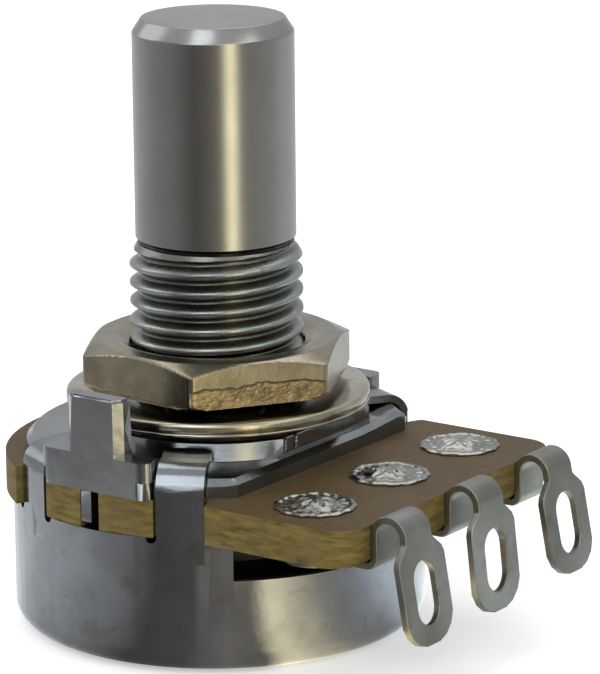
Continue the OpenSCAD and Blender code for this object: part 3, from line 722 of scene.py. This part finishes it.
# ---------------------------------------------------------------- rivets
def make_rivet(i):
    """Rivet i of -1, 0 and 1: star-crimped head on a hollow shank."""
    name = "rivet_%d" % (i + 2)
    bm = bmesh.new()
    steps = 144
    cx, cy = 5.0 * i, -8.2
    base = WAFER_TOP
    spin = 0.35 * (i + 1)
    rows = []
    n = 56
    for k in range(n + 1):
        r = 1.6 * k / n
        row = []
        for s in range(steps):
            a = 2 * math.pi * s / steps
            star = math.cos(6 * a + spin)
            fold = abs(math.sin(3 * a + 0.5 * spin))
            # closed domed middle, crimped star on its shoulder, flared scalloped rim
            z = 0.24 * max(0.0, 1.0 - (r / (0.98 + 0.06 * star)) ** 2) ** 0.75
            z += 0.078 + 0.06 * math.exp(-((r - 1.44) / 0.11) ** 2)
            z += 0.10 * (fold - 0.55) * math.exp(-((r - 0.58) / 0.26) ** 2)
            z += 0.016 * math.cos(11 * a - 1.3 * spin) * math.exp(-((r - 0.45) / 0.2) ** 2)
            z += 0.020 * math.cos(17 * a + 3 * spin) * math.exp(-((r - 1.22) / 0.2) ** 2)
            z -= 0.035 * (1 - fold) * min(1.0, max(0.0, (r - 1.0) / 0.5))
            rr = r * (1.0 - 0.02 * (1 - math.cos(13 * a + spin)) * max(0.0, (r - 1.2) / 0.4))
            z += 0.022 * noise.noise((math.cos(a) * 5.2 * r, math.sin(a) * 5.2 * r, i * 5.0))
            row.append((rr * math.cos(a), rr * math.sin(a), base + min(0.318, max(z, 0.05))))
        rows.append(row)
    last = rows[-1]
    rows.append([(x, y, base + 0.02) for x, y, z in last])
    rows.append([(x * 0.98, y * 0.98, base) for x, y, z in last])
    for r, z in ((0.85, base), (0.85, 5.15), (1.27, 5.15), (1.3, 5.12), (1.3, 4.94), (1.26, 4.9),
                 (0.54, 4.9), (0.5, 4.94), (0.5, 6.6), (0.4, 6.7), (0.0, 6.7)):
        rows.append([(r * math.cos(2 * math.pi * s / steps), r * math.sin(2 * math.pi * s / steps), z)
                     for s in range(steps)])
    vs = [[bm.verts.new(((cx + x) * MM, (cy + y) * MM, z * MM)) for x, y, z in row] for row in rows]
    grid_faces(bm, vs, flip=True)
    bmesh.ops.remove_doubles(bm, verts=bm.verts, dist=1e-8)
    bmesh.ops.recalc_face_normals(bm, faces=bm.faces)
    return add_object("eyelet_%d" % (i + 2), bm, [MAT["rivet"]], "housing", [name], 50)


make_shaft()
make_thread()
make_nut()
make_washer()
for i in (-1, 0, 1):
    make_rivet(i)

from_cad("front_plate", "plate_casting", [MAT["cast"]], 0.09, 3,
         cut=dress_plate)
from_cad("rear_cover", "cover_pressed", [MAT["cover"]], 0.07, 3, cut=dress_cover)
from_cad("wafer", "laminate_wafer", [MAT["laminate"]], 0.05, 2, cut=dress_wafer)
for i in (1, 2, 3):
    from_cad("terminal_lug_%d" % i, "solder_lug_%d" % i, [MAT["lug"]], 0.05, 3)

KEEP = {"retaining_clip": "clip", "rotor": "plastic", "wiper_spring": "bronze",
        "resistive_track": "carbon", "collector_ring": "silver", "track_pad_1": "silver",
        "track_pad_3": "silver"}
for name, mat in KEEP.items():
    me = nodes[name].data
    me.materials.clear()
    me.materials.append(MAT[mat])


# ---------------------------------------------------------------- floor, world, lamps
def surround(n, vec, table):
    """What metal sees round the object: pale behind it, dimmer towards the front left,
    with a warm bright stripe to the right of the front. It depends on place alone."""
    def along(axis):
        d = n.add("ShaderNodeVectorMath", operation="DOT_PRODUCT")
        n.link(vec, d.inputs[0])
        d.inputs[1].default_value = axis
        return d.outputs["Value"]

    ang = n.math("ARCTAN2", along(RIGHT), along(FRONT))
    turn = n.math("ADD", n.math("DIVIDE", ang, 2 * math.pi), 0.5)      # 0.5 is the front

    def at(deg):
        return 0.5 + deg / 360.0

    def tone(stops):
        return n.ramp(turn, [(at(d), c) for d, c in stops])

    base = tone([(-180, (0.72, 0.74, 0.77)), (-150, (0.75, 0.77, 0.80)), (-117, (0.66, 0.675, 0.69)),
                 (-98, (0.52, 0.53, 0.54)), (-82, (0.45, 0.455, 0.46)), (-60, (0.385, 0.385, 0.385)),
                 (-43, (0.27, 0.265, 0.26)), (-28, (0.165, 0.16, 0.155)), (-10, (0.24, 0.222, 0.21)),
                 (5, (0.35, 0.32, 0.285)), (14, (0.34, 0.31, 0.27)), (56, (0.47, 0.47, 0.45)),
                 (92, (0.58, 0.60, 0.60)), (111, (0.78, 0.81, 0.81)), (180, (0.72, 0.74, 0.77))])
    far = tone([(11, 0.0), (19, 0.60), (23, 1.0), (28, 1.0), (32, 0.40), (39, 0.0)])
    if table:
        length = n.add("ShaderNodeVectorMath", operation="LENGTH")
        n.link(vec, length.inputs[0])
        close = n.ramp(n.math("MULTIPLY", length.outputs["Value"], 8.0), [(0.34, 1.0), (0.54, 0.0)])
        beside = n.ramp(n.math("MULTIPLY", length.outputs["Value"], 8.0), [(0.235, 1.0), (0.30, 0.0)])
        by = tone([(-180, (0.8, 0.82, 0.85)), (-150, (0.95, 0.97, 1.0)), (-104, (1.02, 1.05, 1.08)),
                   (-83, (0.88, 0.90, 0.93)), (-60, (0.64, 0.65, 0.66)), (-43, (0.42, 0.42, 0.42)),
                   (-28, (0.165, 0.16, 0.155)), (-10, (0.20, 0.187, 0.178)), (3, (0.42, 0.38, 0.34)),
                   (14, (0.36, 0.33, 0.28)), (50, (0.50, 0.49, 0.46)), (66, (0.66, 0.69, 0.71)),
                   (80, (1.3, 1.42, 1.5)), (104, (1.45, 1.56, 1.56)), (124, (1.0, 1.02, 1.02)),
                   (180, (0.8, 0.82, 0.85))])
        near = tone([(14, 0.0), (20, 0.95), (24, 1.0), (30, 0.62), (37, 0.38), (44, 0.10), (54, 0.0)])
        colour = n.mix(close, (3.6, 3.3, 2.25), (2.25, 2.0, 1.33))
        return n.mix(n.mixf(close, far, near), n.mix(beside, base, by), colour)
    # above the horizon: an even room with a low soft window in front, and the same warm stripe
    sep = n.add("ShaderNodeSeparateXYZ")
    n.link(vec, sep.inputs[0])
    low = n.ramp(sep.outputs["Z"], [(0.13, 0.0), (0.22, 1.0), (0.44, 1.0), (0.56, 0.0)])
    front = tone([(-48, 0.0), (-36, 1.0), (44, 1.0), (58, 0.0)])
    room = n.mix(0.65, base, (0.52, 0.53, 0.55))
    room = n.mix(n.math("MULTIPLY", low, front), room, (1.65, 1.74, 1.78))
    return n.mix(far, room, (2.5, 2.25, 1.6))


def make_floor():
    """White floor that keeps the shadow; metal sees the tones of surround() on it."""
    bm = bmesh.new()
    n = 24
    s = 1.2
    for i in range(n + 1):
        for j in range(n + 1):
            bm.verts.new(((i / n - 0.5) * 2 * s, (j / n - 0.5) * 2 * s, -0.00002))
    bm.verts.ensure_lookup_table()
    for i in range(n):
        for j in range(n):
            a = i * (n + 1) + j
            bm.faces.new([bm.verts[k] for k in (a, a + n + 1, a + n + 2, a + 1)])
    me = bpy.data.meshes.new("floor")
    bm.to_mesh(me)
    bm.free()
    obj = bpy.data.objects.new("floor", me)
    bpy.context.scene.collection.objects.link(obj)
    m = bpy.data.materials.new("floor")
    m.use_nodes = True
    nd = Nodes(m.node_tree)
    out = nd.add("ShaderNodeOutputMaterial")
    diff = nd.add("ShaderNodeBsdfDiffuse")
    diff.inputs["Color"].default_value = (0.93, 0.93, 0.93, 1)
    em = nd.add("ShaderNodeEmission")
    em.inputs["Strength"].default_value = 0.42
    add = nd.add("ShaderNodeAddShader")
    nd.link(diff.outputs[0], add.inputs[0])
    nd.link(em.outputs[0], add.inputs[1])
    lp = nd.add("ShaderNodeLightPath")
    cam = nd.add("ShaderNodeMixShader")
    nd.link(lp.outputs["Is Camera Ray"], cam.inputs[0])
    nd.link(diff.outputs[0], cam.inputs[1])
    nd.link(add.outputs[0], cam.inputs[2])
    geo = nd.add("ShaderNodeNewGeometry")
    sheen = nd.add("ShaderNodeEmission")
    nd.link(surround(nd, geo.outputs["Position"], True), sheen.inputs["Color"])
    mix = nd.add("ShaderNodeMixShader")
    nd.link(lp.outputs["Is Glossy Ray"], mix.inputs[0])
    nd.link(cam.outputs[0], mix.inputs[1])
    nd.link(sheen.outputs[0], mix.inputs[2])
    nd.link(mix.outputs[0], out.inputs["Surface"])
    me.materials.append(m)


def make_world():
    """White to the camera, a soft light for diffuse rays, the room of surround() in reflections."""
    w = bpy.data.worlds.new("studio")
    bpy.context.scene.world = w
    w.use_nodes = True
    n = Nodes(w.node_tree)
    out = n.add("ShaderNodeOutputWorld")
    tc = n.add("ShaderNodeTexCoord")
    sep = n.add("ShaderNodeSeparateXYZ")
    n.link(tc.outputs["Generated"], sep.inputs[0])
    high = n.ramp(sep.outputs["Z"], [(0.25, 0.0), (0.75, 1.0)])
    seen = n.mix(high, surround(n, tc.outputs["Generated"], False), (0.80, 0.82, 0.86))
    shine = n.add("ShaderNodeBackground")
    n.link(seen, shine.inputs["Color"])
    soft = n.add("ShaderNodeBackground")
    soft.inputs["Color"].default_value = (0.98, 0.99, 1.0, 1)
    soft.inputs["Strength"].default_value = 0.62
    white = n.add("ShaderNodeBackground")
    white.inputs["Color"].default_value = (1, 1, 1, 1)
    lp = n.add("ShaderNodeLightPath")
    a = n.add("ShaderNodeMixShader")
    n.link(lp.outputs["Is Glossy Ray"], a.inputs[0])
    n.link(soft.outputs[0], a.inputs[1])
    n.link(shine.outputs[0], a.inputs[2])
    b = n.add("ShaderNodeMixShader")
    n.link(lp.outputs["Is Camera Ray"], b.inputs[0])
    n.link(a.outputs[0], b.inputs[1])
    n.link(white.outputs[0], b.inputs[2])
    n.link(b.outputs[0], out.inputs["Surface"])


def lamp(name, azim, elev, dist, size_x, size_y, radiance, colour, aim=(0, 0, 10)):
    """Soft panel at an azimuth right of the camera, an elevation and a distance in mm."""
    a, e = math.radians(azim), math.radians(elev)
    d = (FRONT * math.cos(a) + RIGHT * math.sin(a)) * math.cos(e) + Vector((0, 0, math.sin(e)))
    pos = (Vector(aim) + d * dist) * MM
    light = bpy.data.lights.new(name, "AREA")
    light.shape = "RECTANGLE"
    light.size, light.size_y = size_x * MM, size_y * MM
    light.color = colour
    # the radiance of an area lamp is its power / (area * pi)
    light.energy = radiance * math.pi * light.size * light.size_y
    obj = bpy.data.objects.new(name, light)
    bpy.context.scene.collection.objects.link(obj)
    obj.location = pos
    obj.rotation_euler = (Vector(aim) * MM - pos).to_track_quat("-Z", "Y").to_euler()
    return obj


make_floor()
make_world()
lamp("panel_front", -20, 44, 300, 120, 240, 1.9, (0.88, 0.95, 1.0))
lamp("panel_right", 60, 38, 330, 150, 120, 1.6, (1.0, 0.94, 0.84))
lamp("panel_left", -115, 30, 300, 200, 200, 1.0, (0.95, 0.98, 1.0))
lamp("panel_top", 170, 62, 320, 260, 200, 1.2, (1.0, 1.0, 1.0))
